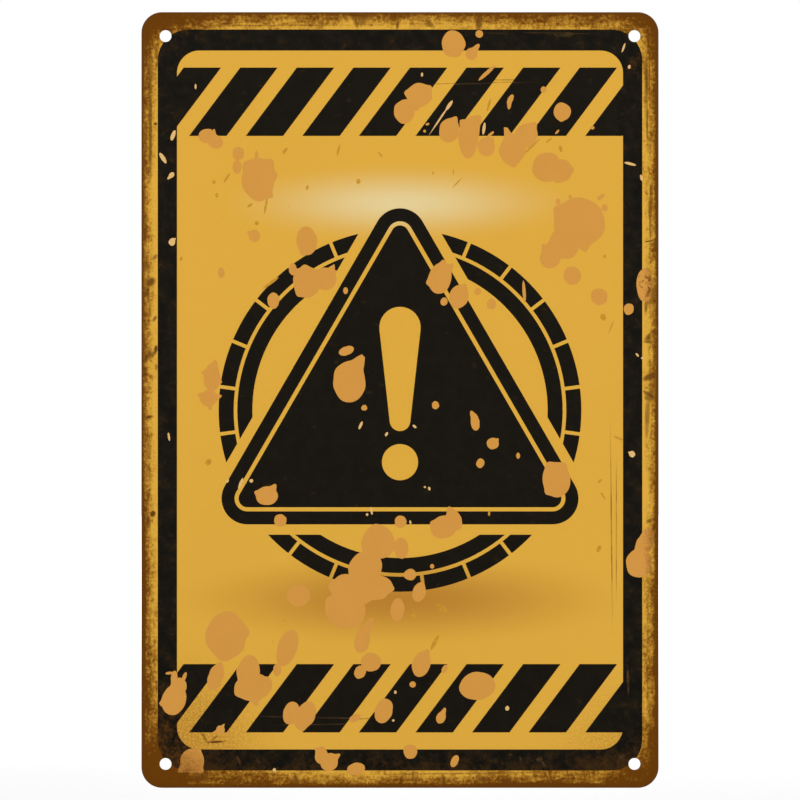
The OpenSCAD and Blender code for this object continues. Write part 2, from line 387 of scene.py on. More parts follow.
def field(loops, keep):
    """Triangulates the outlines with a lattice between them, and keeps what keep(points) says.

    Returns the points, the triangles turned anticlockwise, and the outline point that each
    point came from, or -1.
    """
    outline = np.vstack(loops)
    low, high = outline.min(0), outline.max(0)
    rows = np.arange(low[1] + LATTICE / 2, high[1], LATTICE * ROW_SHARE)
    across = np.arange(low[0] + LATTICE / 2, high[0], LATTICE)
    x, z = np.meshgrid(across, rows)
    x = x + LATTICE / 2 * (np.arange(len(rows)) % 2)[:, None]
    lattice = np.column_stack((x.ravel(), z.ravel()))
    edges = []
    start = 0
    for loop in loops:
        count = len(loop)
        edges += [(start + i, start + (i + 1) % count) for i in range(count)]
        start += count
    everything = np.vstack((outline, lattice)).tolist()
    verts, _, faces, origins, _, _ = geometry.delaunay_2d_cdt(everything, edges, [], 0, SAME_POINT)
    points = np.array(verts)
    tris = np.array(faces)
    tris = tris[keep(points[tris].mean(1))]
    a, b, c = points[tris].transpose(1, 2, 0)
    area = (b[0] - a[0]) * (c[1] - a[1]) - (b[1] - a[1]) * (c[0] - a[0])
    tris[area < 0] = tris[area < 0][:, ::-1]
    source = np.array([min(ids) if ids and min(ids) < len(outline) else -1 for ids in origins])
    used = np.unique(tris)
    number = np.full(len(points), -1)
    number[used] = np.arange(len(used))
    return points[used], number[tris], source[used]


def rim_edges(tris):
    """Edges that only one triangle has, in that triangle's direction."""
    forward = np.vstack((tris[:, (0, 1)], tris[:, (1, 2)], tris[:, (2, 0)]))
    size = int(tris.max()) + 1
    keys = forward[:, 0] * size + forward[:, 1]
    back = forward[:, 1] * size + forward[:, 0]
    return forward[~np.isin(keys, back)]


def thin_solid(points, tris, front, back, open_rim=None):
    """A closed slab: a front and a back copy of the field and a wall on each free edge.

    Front and back are depths behind the face. The wave is added to both. Where open_rim is
    given, it marks points, and an edge between two of them gets no wall.
    """
    count = len(points)
    x, z = points.T
    depth = wave(x, z)
    sides = [np.column_stack((x, depth + y, z)) for y in (front, back)]
    free = rim_edges(tris)
    if open_rim is not None:
        free = free[~(open_rim[free[:, 0]] & open_rim[free[:, 1]])]
    a, b = free.T
    walls = np.column_stack((b, a, a + count, b + count))
    faces = tris.tolist() + (tris[:, ::-1] + count).tolist() + walls.tolist()
    return np.vstack(sides), faces


# %% [markdown]
# Every piece is put into the scene by one function. It turns millimetres into metres,
# shades smooth across the gentle waves and keeps an edge sharp where the surface turns.

# %% Put a mesh into the scene
SHARP = np.radians(35)


def put_in_scene(name, data):
    """Makes an object of a mesh, a camera or a lamp."""
    item = bpy.data.objects.new(name, data)
    bpy.context.scene.collection.objects.link(item)
    print("placed", name)
    return item


def add_piece(name, verts, faces, material):
    """Makes an object at the origin, with its place in its mesh, and gives it its finish."""
    mesh = bpy.data.meshes.new(name)
    mesh.from_pydata((np.asarray(verts) * MM).tolist(), [], faces)
    mesh.update()
    mesh.shade_smooth()
    mesh.set_sharp_from_angle(angle=SHARP)
    mesh.materials.append(material)
    print(name, len(verts), "points", len(faces), "faces")
    return put_in_scene(name, mesh)


# %% [markdown]
# A finish is a set of nodes. Written as plain sums they stay readable, so a small class
# wraps a socket and lets Python's operators add the Math nodes, and a second class adds
# any other node from its kind, its settings and what goes into its sockets. A finish starts
# from one flat colour, and each stain is laid over it as a tint.

# %% Sums that become nodes
class Wire:
    """A number that comes out of a socket. Each sum or product adds a Math node."""

    def __init__(self, nodes, socket):
        self.nodes = nodes
        self.socket = socket

    def __add__(self, other):
        return self.nodes.math("ADD", self, other)

    def __sub__(self, other):
        return self.nodes.math("SUBTRACT", self, other)

    def __rsub__(self, other):
        return self.nodes.math("SUBTRACT", other, self)

    def __mul__(self, other):
        return self.nodes.math("MULTIPLY", self, other)

    def __truediv__(self, other):
        return self.nodes.math("DIVIDE", self, other)

    def __abs__(self):
        return self.nodes.math("ABSOLUTE", self, 0)

    __radd__ = __add__
    __rmul__ = __mul__


class Nodes:
    """The nodes of a material or of the sky."""

    def __init__(self, owner):
        owner.use_nodes = True
        self.tree = owner.node_tree
        self.tree.nodes.clear()

    def node(self, kind, settings=None, inputs=None):
        """Adds a node, makes its settings first, and then fills or links its sockets."""
        node = self.tree.nodes.new("ShaderNode" + kind)
        for name, value in (settings or {}).items():
            setattr(node, name, value)
        for key, value in (inputs or {}).items():
            if isinstance(value, Wire):
                self.tree.links.new(value.socket, node.inputs[key])
            else:
                node.inputs[key].default_value = value
        return node

    def wire(self, kind, settings=None, inputs=None, output=0):
        """Adds a node and returns one of its outputs."""
        return Wire(self, self.node(kind, settings, inputs).outputs[output])

    def math(self, operation, a, b):
        """One Math node of two numbers."""
        return self.wire("Math", {"operation": operation}, {0: a, 1: b})

    def least(self, a, b):
        """The smaller of two numbers."""
        return self.math("MINIMUM", a, b)

    def most(self, a, b):
        """The larger of two numbers."""
        return self.math("MAXIMUM", a, b)

    def length(self, a, b):
        """The square root of a * a + b * b."""
        return self.math("POWER", a * a + b * b, 0.5)

    def fade(self, value, start, end):
        """0 up to start and 1 from end on, with a smooth step. Start may be the larger one."""
        limits = {0: value, 1: min(start, end), 2: max(start, end), 3: 0.0, 4: 1.0}
        step = self.wire("MapRange", {"interpolation_type": "SMOOTHSTEP"}, limits)
        return step if start < end else 1 - step

    def mix(self, factor, a, b):
        """Colour a where the factor is 0 and colour b where it is 1."""
        settings = {"data_type": "RGBA", "blend_type": "MIX", "clamp_factor": True}
        return self.wire("Mix", settings, {0: factor, 6: a, 7: b}, output=2)

    def ramp(self, value, stops):
        """Colours along a value from 0 to 1. A stop is its position and its screen colour."""
        node = self.node("ValToRGB", inputs={0: value})
        elements = node.color_ramp.elements
        while len(elements) < len(stops):
            elements.new(1.0)
        for element, (position, *colour) in zip(elements, stops):
            element.position = position
            element.color = srgb(*colour)
        return Wire(self, node.outputs[0])


class Finish(Nodes):
    """A material that knows its place in mm and the colour laid on so far."""

    def __init__(self, name):
        self.material = bpy.data.materials.new(name)
        super().__init__(self.material)
        self.place = self.wire("TexCoord", output="Object")
        split = self.node("SeparateXYZ", inputs={0: self.place})
        self.x, self.y, self.z = (Wire(self, socket) / MM for socket in split.outputs)

    def noise(self, size, stretch=(1, 1, 1), detail=3, rough=0.55, shift=0):
        """Cloudy noise from 0 to 1 with spots of about this size in mm. Stretch lengthens them."""
        scale = tuple(1 / s for s in stretch)
        moved = self.wire("Mapping", inputs={0: self.place, 1: (shift, shift, shift), 3: scale})
        sockets = {"Vector": moved, "Scale": 1 / (size * MM), "Detail": detail, "Roughness": rough}
        return self.wire("TexNoise", inputs=sockets)

    def bump(self, height, strength, distance):
        """A normal tilted by a height map. Distance is the height's full travel in mm."""
        inputs = {"Strength": strength, "Distance": distance * MM, "Height": height}
        return self.wire("Bump", inputs=inputs)

    def tint(self, amount, red, green, blue):
        """Lays a screen colour over the finish, fully where the amount is 1."""
        self.colour = self.mix(amount, self.colour, srgb(red, green, blue))

    def surface(self, **sockets):
        """The one shader of the finish, with its colour and its other sockets by name."""
        inputs = {name.replace("_", " "): value for name, value in sockets.items()}
        shader = self.wire("BsdfPrincipled", inputs={"Base Color": self.colour, **inputs})
        self.node("OutputMaterial", inputs={0: shader})
        print(self.material.name, "has", len(self.tree.nodes), "nodes")
        return self.material


def srgb(red, green, blue):
    """The linear colour of three 0 to 255 screen values, as shaders need it."""
    c = np.array((red, green, blue)) / 255
    linear = np.where(c <= 0.04045, c / 12.92, ((c + 0.055) / 1.055) ** 2.4)
    return (*linear.tolist(), 1.0)


def grey(level):
    """A linear colour without a hue, from 0 for black to 1 for white."""
    return (level, level, level, 1)


print("yellow is", [round(v, 3) for v in srgb(223, 170, 64)])

# %% [markdown]
# The rim is where the sign has aged, and its browning towards the edge is also painted shade
# of the rolled edge. Damp creeps in from the edge, so what browns it is the distance from the
# outline of the sheet. That distance is the same rule as the outline's own shape: it is
# measured to a rectangle with rounded corners.

# %% Distances that the wear follows
def inset_from_edge(f):
    """Distance in mm inwards from the sheet's outline.

    With q = |place| - (half size - corner radius), the distance outside is
    length(max(q, 0)) + min(max(qx, qz), 0) - corner radius.
    """
    qx = abs(f.x) - (HALF_W - CORNER_R)
    qz = abs(f.z) - (HALF_H - CORNER_R)
    outside = f.length(f.most(qx, 0), f.most(qz, 0))
    return CORNER_R - outside - f.least(f.most(qx, qz), 0)


def near_point(f, x, z, reach, squash=1.0):
    """1 at a point and 0 past its reach in mm. Squash makes the height of the patch smaller."""
    return f.fade(f.length(f.x - x, (f.z - z) / squash), reach, 0)


def near_corner(f, reach):
    """1 at each of the sheet's four corners and 0 past their reach in mm."""
    return f.fade(f.length(abs(f.x) - HALF_W, abs(f.z) - HALF_H), reach, 0)


def near_hole(f, reach):
    """1 at the rim of each of the four holes and 0 past their reach in mm."""
    return f.fade(f.length(abs(f.x) - HOLE_X, abs(f.z) - HOLE_Z), HOLE_R + reach, HOLE_R)


def line_mark(f, x, z, length, width, turn):
    """A scratch: 1 at its middle and 0 at the outline of a long thin ellipse.

    The ellipse is (along / (0.6 length))^2 + (aside / width)^2 = 1, turned by an angle.
    """
    run, rise = directions([turn])[0].tolist()
    dx = f.x - x
    dz = f.z - z
    along = (dx * run + dz * rise) / (length * 0.6)
    aside = (dz * run - dx * rise) / width
    return f.fade(along * along + aside * aside, 1, 0.1)


# %% [markdown]
# The yellow enamel carries most of the look. It is one flat colour with a pale glow above
# the emblem and a soft brown shade below it, both airbrushed in the print. Dust has dulled
# it in grains, mostly in the two lower corners.

# %% Yellow enamel
f = Finish("weathered_yellow")
f.colour = srgb(221, 168, 59)
f.tint(f.noise(60, detail=2, shift=1), 225, 172, 63)
glow = near_point(f, 0, 76, 75, squash=0.22)
f.tint(glow * (glow * 0.4 + 0.6), 230, 208, 150)
f.tint(near_point(f, 0, -77, 98, squash=0.2), 186, 128, 44)

dusty = near_point(f, -86, -136, 48) + near_point(f, 88, -138, 42) * 0.6
specks = f.fade(f.noise(0.8, rough=0.9, shift=9) + dusty * 0.1, 0.42, 0.72)
f.tint(specks * f.least(dusty * 1.6, 1) * 0.75, 160, 104, 32)
f.tint(f.fade(f.noise(2, detail=1, shift=25), 0.76, 0.8) * 0.35, 176, 124, 40)

# %% [markdown]
# Over it lie the stains of the rim, mixed with painted shade of the rolled edge: a dark
# brown line along the fold, partly rust and partly painted shade, a mottled band inside it,
# rust darkened towards the fold by painted shade, and a wide brown patch in each corner.
# They follow the inset, shaken by noise and held back or helped on by damp, and a ramp turns
# that reach into colours.

# %% Stains and painted shade of the rim
# Places on the rim where damp stands: how far it reaches, how much it holds back the
# yellow, and how many mm it adds to the dark line. Drier places have minus signs.
DAMP_PLACES = [
    (-HALF_W, -HALF_H, 120, 0.85, 0),
    (HALF_W, -HALF_H, 115, 0.65, 0),
    (-HALF_W, HALF_H, 80, 0.6, 0),
    (HALF_W, HALF_H, 120, 0.5, 0),
    (-HALF_W, -134, 28, 0.35, 0.5),
    (-HALF_W, -72, 56, 0.1, 1.3),
    (HALF_W, -85, 34, 0.1, 0.4),
    (52, -HALF_H, 38, 0.2, 1),
    (-40, HALF_H, 22, 0.35, 0.3),
    (-20, HALF_H, 16, -0.25, -0.5),
    (HALF_W, 69, 18, -0.4, 0),
    (HALF_W, 30, 44, 0, -1),
]

# Blots on the rim, with their place and reach
DARK_SPOTS = [
    (-97, 52, 5.5), (-97, 45, 5.5), (-96, 18, 6), (-98, -6, 5.5), (-97.5, -45, 5.5),
    (-15, 147, 8), (11, 145, 4.5), (30.5, 145, 5), (56, 147, 4), (96, 42, 9), (95.5, 3, 9),
    (33, -146, 5), (-41, -147, 4), (-76, -145, 8),
]

inset = inset_from_edge(f)
corner = near_corner(f, 30)
long_side = f.fade(abs(f.x) - abs(f.z), HALF_W - HALF_H - 3, HALF_W - HALF_H + 3)
lower_right = f.fade(f.x - f.z * 0.65, -60, 60)
grain = f.noise(1.3, detail=2, rough=0.8)
clumps = f.noise(3.2, rough=0.65, shift=3)
upright = f.noise(1.6, stretch=(1, 1, 7), detail=2, shift=5)
level = f.noise(1.6, stretch=(7, 1, 1), detail=2, shift=8)
streaks = level + (upright - level) * long_side
patches = f.noise(20, detail=2, shift=6)

pace = long_side * 0.2 + 1
line_w = inset - lower_right * 0.8 - near_corner(f, 16) * 2.5 + (grain - 0.5) * 1.6
for x, z, length, slowing, widening in DAMP_PLACES:
    damp = near_point(f, x, z, length)
    pace = pace - damp * slowing
    line_w = line_w - damp * widening
mottle = (grain - 0.5) * 9 + (clumps + streaks + patches - 1.5) * 6
held = f.least(inset * 0.5 + 0.1, 1)
reach = inset * pace + mottle * held - corner * 2.6 - near_hole(f, 5)
# The ramp's colours are rust stain, darkened towards the fold as painted shade of the rolled edge.
stain_and_edge_shade = f.ramp(reach / 10, [
    (0, 104, 58, 2),
    (0.08, 112, 67, 8),
    (0.17, 134, 87, 18),
    (0.26, 159, 109, 32),
    (0.34, 176, 126, 39),
    (0.42, 199, 148, 50),
    (0.53, 213, 161, 56),
    (0.66, 222, 169, 61),
])
in_rim = f.fade(reach, 7, 5.6) * f.fade(inset - corner * 9, 10, 7.5)
f.colour = f.mix(in_rim, f.colour, stain_and_edge_shade)

spots = reduce(f.most, [near_point(f, *spot) for spot in DARK_SPOTS])
blots = f.fade(clumps * 0.55 + grain * 0.45 + spots * 0.18, 0.64, 0.7)
f.tint(blots * f.fade(inset, 6.4, 5.4) * 0.7, 98, 56, 8)
# The dark brown line along the fold: part rust, part painted shade where the edge turns away.
f.tint(f.fade(line_w, 1.5, 0.3), 102, 57, 2)

# %% [markdown]
# Scratches and strokes are thin ellipses, each where it is on the sign. Streaky noise
# breaks them up, so that they look scraped rather than drawn.

# %% Scratches in the yellow
# Their place, length, width, turn and strength
YELLOW_MARKS = [
    # Hairlines in the print
    (81.6, -48, 74, 0.34, 90.6, 0.7), (83.5, -50, 52, 0.3, 90, 0.65),
    (30, 122.4, 60, 0.26, 1.4, 0.5), (44, 123.6, 26, 0.34, 0.6, 0.5),
    (-17, -123.2, 22, 0.3, 3, 0.5), (-71.3, -132, 8.4, 0.6, 3, 1),
    (-75.4, -130.4, 4.6, 0.6, -64, 0.9), (-76.4, -129.2, 2.6, 0.5, -64, 0.8),
    (-71.6, -130.4, 3.6, 0.5, 38, 0.7),
    # Right rim
    (95.3, 116, 36, 0.55, 90.4, 0.9), (94.6, 120, 28, 0.35, 90, 0.8),
    (96.3, 124, 20, 0.4, 90, 0.7), (96.7, 72, 24, 0.6, 89.6, 0.9), (97, 25, 7, 1.5, 40, 0.8),
    (96.8, 22.6, 6, 0.9, 4, 0.7), (96.4, 9, 6.5, 1.6, 24, 0.8), (96.2, 2, 6, 0.9, -32, 0.9),
    (95.4, -6, 18, 1.2, 88, 0.6), (97, -91.4, 6.5, 0.6, 28, 0.8), (96.6, -46.5, 4, 1, 20, 0.7),
    (96.6, 74, 11.5, 0.9, 90, 1.2), (96.4, 61.4, 4.5, 0.4, 14, 0.9),
    (98.6, 60.6, 5, 1.1, 88, 0.9), (94.9, 36.6, 7, 0.8, 88, 1.1),
    # Left rim
    (-96.4, 108, 46, 0.9, 90.3, 0.7), (-96.2, 45.6, 4.4, 2, 30, 0.8),
    (-98, 41.6, 4, 1.5, 80, 0.8), (-94.7, 31.4, 2.8, 0.8, 60, 0.7),
    (-94.3, 19.6, 3.4, 1, 80, 0.9), (-96.8, 17, 5, 1.4, 50, 0.9),
    (-94.1, 12.6, 3, 0.7, 88, 0.7), (-96.2, 9.2, 1.4, 0.9, 0, 0.9),
    (-95.2, -100.6, 1.4, 0.7, 30, 0.8), (-94.4, 106.6, 1.6, 0.7, 0, 0.9),
    (-94.4, 55.3, 2.4, 0.9, 60, 1), (-97.8, 0.2, 3, 0.5, 20, 0.8),
    (-96.7, -6.5, 3, 0.8, 10, 0.9), (-95.4, -43.9, 2.6, 1.3, 70, 1.1),
    (-97.2, -47.3, 5.6, 1.2, 88, 1.1),
    # Top and bottom rims
    (-66.7, 145.3, 4.4, 0.7, 0, 0.8), (-51.5, 145.3, 3.2, 0.8, 8, 0.8),
    (-30.6, 145, 4, 1.6, 70, 0.8), (-8.3, 147.6, 2, 1.1, -50, 0.8),
    (-1, 144.6, 3.6, 0.7, 84, 0.8), (-45, 144.6, 50, 0.45, 0.4, 0.5),
    (-17.4, 146.4, 6.5, 1.1, -70, 0.8), (-21, 147.4, 4.5, 0.9, -55, 0.7),
    (30.6, 146, 7.5, 1.8, 86, 0.75), (11.6, 145.2, 5, 1.2, -48, 0.8),
    (56, 146.6, 5.5, 0.7, 84, 0.7), (20, -144.2, 60, 0.45, 0.6, 0.5),
    (31, -146, 4.4, 1.8, -34, 0.8), (6, -146, 6, 1.5, -68, 0.7), (17, -146.6, 6, 1, -74, 0.8),
    (41.6, -147, 4, 0.9, -70, 0.7), (-40, -146.4, 6, 0.8, -74, 0.7),
    (-57, -145.8, 5, 0.5, -80, 0.7), (52, -145, 2.4, 1.1, 10, 0.8),
    (56, -144.4, 3.4, 0.6, -62, 0.7),
]

ragged = f.fade(f.noise(2.6, stretch=(1, 1, 4), shift=20), 0.4, 0.55)
marks = reduce(f.most, [line_mark(f, *line) * strength for *line, strength in YELLOW_MARKS])
f.tint(marks * (ragged * 0.5 + 0.6), 104, 62, 12)

height = f.noise(1.6, detail=2, shift=30) * 0.35 + grain * in_rim * 0.9
yellow_finish = f.surface(
    Roughness=0.6,
    Specular_IOR_Level=0.03,
    Coat_Weight=0.15 - in_rim * 0.12,
    Coat_Roughness=0.28,
    Normal=f.bump(height, 0.35, 0.05),
)

# %% [markdown]
# The black ink is screen print on top of the enamel. It is nearly even, so what makes it
# real is small: brown bloom in the corners and along the lower band, faint rubbed marks,
# and a fine tooth that breaks up its gloss.

# %% Black print
# Hairlines and nicks, with their place, length, width and turn
BLACK_MARKS = [
    (-32, -122.6, 46, 0.3, -1.2), (-30, -125.2, 40, 0.26, 0.8), (32, 122.2, 46, 0.26, 1.4),
    (37, 141.6, 9, 0.3, -1), (61, 141.6, 26, 0.35, -1), (88, -108, 12, 0.6, 92),
    (42.6, -137, 1.6, 0.6, 0), (46.6, -138.7, 2.6, 0.6, -72), (53.8, -138.6, 2.8, 1.2, 20),
    (55.4, -140.6, 2.8, 0.6, -60), (85.6, -137.7, 2.6, 1, 30), (-62.3, -139, 4.4, 0.6, -68),
    (-54.8, -139.3, 2.4, 0.7, -58),
]

# Places where rust has stained the print, with their reach and strength
BLACK_STAINS = [
    (-94, -136, 40, 1),
    (84, -146, 26, 0.8),
    (-87, 144, 14, 0.5),
    (92, 130, 9, 0.6),
]

f = Finish("rubbed_black")
inset = inset_from_edge(f)
stains = [near_point(f, x, z, reach) * strength for x, z, reach, strength in BLACK_STAINS]
rusty = reduce(f.most, stains)
cloud = f.noise(6, detail=4, rough=0.7)
grain = f.noise(1.5, rough=0.7, shift=4)
near_rim = f.fade(inset, 24, 16)
uneven = (f.fade(cloud, 0.34, 0.66) - 0.5) * (near_rim * 0.65 + 0.35) + 0.5
f.colour = srgb(10, 7, 2)
f.tint(uneven, 24, 19, 9)

low = f.fade(f.z, -132, -146)
amount = cloud * 0.6 + grain * 0.4 + rusty * 0.16 + low * 0.13
bloom = f.fade(amount, 0.52, 0.72) * f.fade(inset, 18, 15)
f.tint(bloom * 0.8, 60, 39, 15)
rust = f.fade(grain * 0.6 + cloud * 0.4 + rusty * 0.18, 0.68, 0.78)
f.tint(rust * 0.5, 96, 58, 16)
seep = f.fade(rusty * 0.3 + (grain - 0.5) * 1.2 + (cloud - 0.5) * 0.8, 0.22, 0.6)
f.tint(seep * rusty * 0.8, 88, 52, 12)
scuff = near_point(f, 63, 141, 14, squash=0.16)
rubbed = f.noise(2.8, stretch=(1.6, 1, 1), shift=8) + scuff * 0.24
f.tint(f.fade(rubbed, 0.64, 0.76) * (scuff * 0.4 + 0.25), 72, 53, 25)
ragged = f.fade(f.noise(3, stretch=(5, 1, 1), shift=15), 0.42, 0.6)
marks = reduce(f.most, [line_mark(f, *line) for line in BLACK_MARKS])
f.tint(marks * (ragged * 0.5 + 0.3), 84, 58, 32)

black_finish = f.surface(
    Roughness=0.65,
    Specular_IOR_Level=0.03,
    Coat_Weight=0.07 - bloom * 0.05,
    Coat_Roughness=0.34,
    Normal=f.bump(grain * 0.6 + cloud * 0.4, 0.25, 0.04),
)

# %% [markdown]
# Under the flakes the undercoat shows, a matt tan orange that goes brown at the rim, partly
# rust and partly painted shade of the rolled edge. The small chips in the black are fresher,
# so they are paler. Where the enamel is only worn thin, the undercoat shows through it in
# grains.

# %% Undercoat in the flakes
def undercoat(name, dull, fresh):
    """Matt primer between two colours, with grains of dirt and a brown rim of rust and painted
    shade.
    """
    f = Finish(name)
    inset = inset_from_edge(f)
    cloud = f.noise(14)
    grain = f.noise(0.9, rough=0.7, shift=6)
    f.colour = srgb(*dull)
    f.tint(cloud, *fresh)
    f.tint(f.fade(grain, 0.6, 0.75) * 0.3, 190, 128, 52)
    # Browner towards the rim: rust, and painted shade of the rolled edge.
    rim = f.fade(inset + (grain - 0.5) * 8, 6.5, 1.5)
    dirt = near_point(f, -84, -146, 17) * (f.fade(grain, 0.35, 0.65) * 0.5 + 0.55)
    f.tint(f.most(rim * 0.75, dirt), 128, 76, 22)
    flecks = f.fade(f.noise(1.8, detail=1, shift=11), 0.56, 0.62)
    f.tint(near_point(f, 96.6, 44, 8) * flecks, 104, 58, 10)
    return f.surface(
        Roughness=0.72 + (grain - 0.5) * 0.1,
        Specular_IOR_Level=0.05,
        Normal=f.bump(grain * 0.6 + cloud * 0.4, 0.3, 0.03),
    )


tan_finish = undercoat("tan_undercoat", (209, 147, 64), (215, 154, 72))
chip_finish = undercoat("fresh_undercoat", (222, 174, 100), (232, 194, 132))

f = Finish("thin_enamel")
grain = f.noise(1.2, rough=0.7, shift=9)
f.colour = srgb(211, 155, 50)
f.tint(f.fade(grain, 0.3, 0.7), 188, 132, 42)
thin_finish = f.surface(
    Roughness=0.66 + (grain - 0.5) * 0.1,
    Specular_IOR_Level=0.04,
    Normal=f.bump(grain, 0.3, 0.02),
)

# %% [markdown]
# The back was never painted. It is bare tinplate: a soft grey metal with the faint grain of
# the rolling mill along its height, dulled in clouds, and with rust where the fold holds
# water and round the raw holes.

# %% Bare tinplate
f = Finish("bare_tinplate")
inset = inset_from_edge(f)
mill = f.noise(0.7, stretch=(1, 1, 30), detail=2, shift=1)
cloud = f.noise(28, detail=4, rough=0.6)
grain = f.noise(1.3, detail=4, rough=0.7, shift=7)
f.colour = srgb(186, 186, 182)
f.tint(cloud, 160, 160, 155)
f.tint(f.fade(mill, 0.45, 0.7) * 0.12, 120, 118, 112)
wet = near_hole(f, 5) + f.fade(inset, 9, 2.5)
rust = f.fade(grain * 0.6 + cloud * 0.3 + wet * 0.24, 0.58, 0.76)
f.tint(rust, 118, 66, 28)
tin_finish = f.surface(
    Metallic=0.9 - rust * 0.85,
    Roughness=0.34 + cloud * 0.16 + rust * 0.3,
    Normal=f.bump(mill * 0.3 + grain * rust, 0.3, 0.04),
)

# %% [markdown]
# The rolled edge is one line carried round the outline. Seen in section, the line leaves
# the face, bends back, runs down the side wall and folds in behind to the raw edge of
# the lip. The outline's points are known as a base and an outward direction, so an
# inset by u simply moves each point inwards, and the whole edge is a grid of two
# parameters: the place along the section and the place along the outline.

# %% The section and the outline it follows
BEND_STEPS = 10
HEM_STEPS = 6
LIP_STEPS = 3
CORNER_STEPS = 14


def edge_line(depth):
    """Section of the edge at a depth under the outer surface, as rows of inset and y.

    Each bend keeps its centre and has its radius less the depth.
    """
    turned = directions(np.linspace(0, 90, BEND_STEPS + 1))
    bend = EDGE_R - (EDGE_R - depth) * turned[:, ::-1]
    turned = directions(np.linspace(0, 90, HEM_STEPS + 1))
    hem = (HEM_R - depth) * turned * (-1, 1) + (HEM_R, DEPTH - HEM_R)
    lip_x = np.linspace(HEM_R, HEM_R + LIP_W, LIP_STEPS + 1)[1:]
    lip = np.column_stack((lip_x, np.full(LIP_STEPS, DEPTH - depth)))
    return np.vstack((bend, hem, lip))


def outline_path():
    """Points of the outline as a base on the inner rectangle and an outward direction.

    A point at inset u lies at base + (corner radius - u) * direction.
    """
    x = HALF_W - CORNER_R
    z = HALF_H - CORNER_R
    corners = np.array(((x, z), (-x, z), (-x, -z), (x, -z)))
    bases, angles = [], []
    for i, start in enumerate((0, 90, 180, 270)):
        bases.append(np.tile(corners[i], (CORNER_STEPS + 1, 1)))
        angles.append(np.linspace(start, start + 90, CORNER_STEPS + 1))
        run = corners[(i + 1) % 4] - corners[i]
        count = round(float(np.abs(run).sum()) / LATTICE)
        share = np.arange(1, count)[:, None] / count
        bases.append(corners[i] + share * run)
        angles.append(np.full(count - 1, start + 90.0))
    return np.vstack(bases), directions(np.concatenate(angles))


path_base, path_out = outline_path()


def ring(inset):
    """The outline moved inwards by an inset in mm, or by a column of insets."""
    return path_base + (CORNER_R - inset) * path_out


print("edge grid", len(edge_line(0)), "by", len(path_base))

# %% [markdown]
# A coat of this sheet, metal or enamel, is a field for the flat face and the swept edge
# round it. They share the ring of points where the bend begins, so the result is one
# closed skin: out over the edge on one line of the section and back on the other.

# %% Sheets with a rolled edge
def rolled_sheet(outer, inner, cuts):
    """Closed shell between two depths, with holes and other outlines cut out of its face."""
    start = ring(EDGE_R)
    loops = [start, *cuts]
    points, tris, source = field(loops, lambda p: inside(p, start) & ~inside_any(p, cuts))
    on_rim = (source >= 0) & (source < len(start))
    verts, faces = thin_solid(points, tris, outer, inner, open_rim=on_rim)

    section = np.vstack((edge_line(outer)[1:], edge_line(inner)[::-1][:-1]))
    place = ring(section[:, 0, None, None])
    depth = np.broadcast_to(section[:, 1, None], place.shape[:2])
    swept = np.stack((place[..., 0], depth, place[..., 1]), -1)

    around = len(start)
    first = np.empty(around, int)
    first[source[on_rim]] = np.flatnonzero(on_rim)
    middle = len(verts) + np.arange(len(section) * around).reshape(len(section), around)
    grid = np.vstack((first, middle, first + len(points)))
    after = np.roll(grid, -1, 1)
    quads = np.stack((grid[:-1], grid[1:], after[1:], after[:-1]), -1).reshape(-1, 4)
    return np.vstack((verts, swept.reshape(-1, 3))), faces + quads.tolist()


tin_sheet = add_piece("tin_sheet", *rolled_sheet(COAT_T, SHEET_T, hole_loops), tin_finish)

open_spots = hole_loops + flake_loops + chip_loops + faint_loops
enamel_shell = rolled_sheet(0.0, COAT_T, open_spots)
yellow_enamel = add_piece("yellow_enamel", *enamel_shell, yellow_finish)

# %% [markdown]
# The black print stands a little proud of the enamel. Its border, its two rows of stripes
# and its emblem are four fields with walls, each cut through where a flake has gone.

# %% The black print
INK_ROOT = 0.01


def slab(name, loops, keep, front, back, material):
    """A piece cut out of a field, between two depths."""
    points, tris, _ = field(loops, keep)
    return add_piece(name, *thin_solid(points, tris, front, back), material)


def printed(name, loops, keep):
    """A field of ink from just inside the enamel up to the print's own height."""
    inked = lambda p: keep(p) & ~inside_any(p, open_spots)
    return slab(name, loops + open_spots, inked, -INK_T, INK_ROOT, black_finish)


black_border = printed(
    "black_border",
    [border_loop, panel_loop],
    lambda p: inside(p, border_loop) & ~inside(p, panel_loop),
)

stripe_count = int(np.ceil((PANEL_X + STRIPE_LEAN) / STRIPE_PITCH))
stripe_heads = STRIPE_PHASE + STRIPE_PITCH * np.arange(-stripe_count, stripe_count + 1)
stripe_rows = {"hazard_stripes_upper": ROW_EDGE - ROW_H, "hazard_stripes_lower": -ROW_EDGE}
stripe_pieces = []
for name, bottom_z in stripe_rows.items():
    row = [stripe(head, bottom_z) for head in stripe_heads]
    keep = lambda p, row=row: inside_any(p, row) & inside(p, panel_loop)
    stripe_pieces.append(printed(name, [panel_loop, *row], keep))

# %% [markdown]
# The emblem is a plain caution mark: a solid triangle with a yellow line inside it and an
# upright bar and dot, and behind it a broken ring with ticks, like a dial. The ring stops
# short of the triangle, so the triangle seems to lie on top.

# %% The emblem
RING_STEPS = 144

outer_triangle = rounded_triangle(TRIANGLE_R)
line_outer = rounded_triangle(TRIANGLE_R - LINE_INSET)
line_inner = rounded_triangle(TRIANGLE_R - LINE_INSET - LINE_W)
clear_triangle = rounded_triangle(TRIANGLE_R + RING_GAP)
bar = tapered_bar()
dot = circle((0, EMBLEM_Z + DOT_Z), DOT_R)

emblem_centre = (0, EMBLEM_Z)
ring_middle = RING_R - RING_W / 2
ring_radii = (RING_R, RING_R - RING_W, ring_middle + RING_LINE_W / 2, ring_middle - RING_LINE_W / 2)
ring_loops = [circle(emblem_centre, radius, RING_STEPS) for radius in ring_radii]
ring_outer, ring_inner, line_out, line_in = ring_loops


